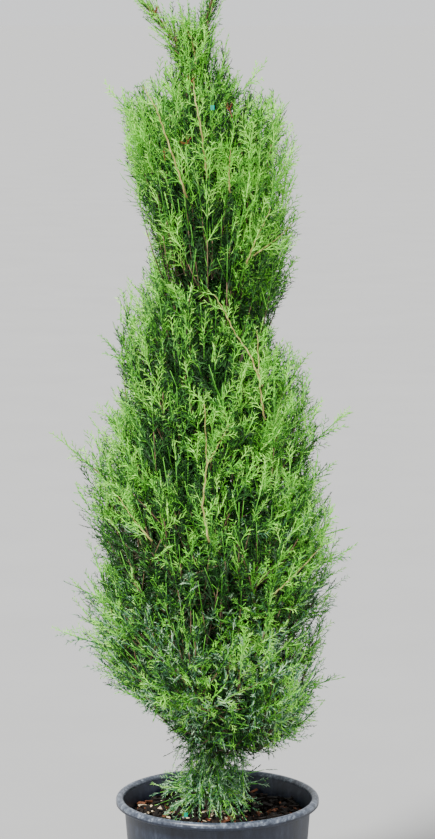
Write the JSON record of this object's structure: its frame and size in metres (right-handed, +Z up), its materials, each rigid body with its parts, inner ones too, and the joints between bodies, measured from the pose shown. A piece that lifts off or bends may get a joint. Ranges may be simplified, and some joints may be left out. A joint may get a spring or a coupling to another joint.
{
  "type": "spiral topiary juniper in a nursery pot",
  "caption": "Juniper grown on one trunk and clipped loosely to a left-handed spiral under a forked leader, in a round black nursery pot filled with potting mix.",
  "frame": {"origin": "centre of the pot's flat underside", "axes": "+Z up, -Y the front of the plant, +X to its right as seen from the front"},
  "size_m": [0.4412, 0.4249, 1.4872],
  "materials": {
    "pot_plastic": "satin black moulded polyethylene with a pale scuffed rolled rim",
    "potting_mix": "damp bark potting mix with reddish bark chips and white perlite",
    "bark": "thin stringy bark, tan to reddish brown",
    "foliage": "matt scale-leaf sprays, mid to dark green",
    "young_foliage": "matt young sprays, light yellow-green"
  },
  "bodies": {
    "root": {"bough_lobe_back_left": "bark", "bough_lobe_back_right": "bark", "bough_lobe_front_left": "bark", "bough_lobe_front_right": "bark", "bough_spiral_01": "bark", "bough_spiral_02": "bark", "bough_spiral_03": "bark", "bough_spiral_04": "bark", "bough_spiral_05": "bark", "bough_spiral_06": "bark", "bough_spiral_07": "bark", "bough_spiral_08": "bark", "bough_spiral_09": "bark", "bough_spiral_10": "bark", "bough_spiral_11": "bark", "bough_spiral_12": "bark", "bough_spiral_13": "bark", "bough_spiral_14": "bark", "bough_spiral_15": "bark", "foliage_foot_front": "foliage", "foliage_foot_left": "foliage", "foliage_foot_right": "foliage", "foliage_leader_left": "young_foliage", "foliage_leader_right": "young_foliage", "foliage_lobe_back_left": "foliage", "foliage_lobe_back_right": "foliage", "foliage_lobe_front_left": "foliage", "foliage_lobe_front_right": "foliage", "foliage_spiral_01": "foliage", "foliage_spiral_02": "foliage", "foliage_spiral_03": "foliage", "foliage_spiral_04": "foliage", "foliage_spiral_05": "foliage", "foliage_spiral_06": "foliage", "foliage_spiral_07": "foliage", "foliage_spiral_08": "foliage", "foliage_spiral_09": "foliage", "foliage_spiral_10": "foliage", "foliage_spiral_11": "foliage", "foliage_spiral_12": "foliage", "foliage_spiral_13": "foliage", "foliage_spiral_14": "foliage", "foliage_spiral_15": "foliage", "leader_fork_left": "bark", "leader_fork_right": "bark", "pot": "pot_plastic", "soil": "potting_mix", "trunk": "bark"}
  },
  "joints": []
}
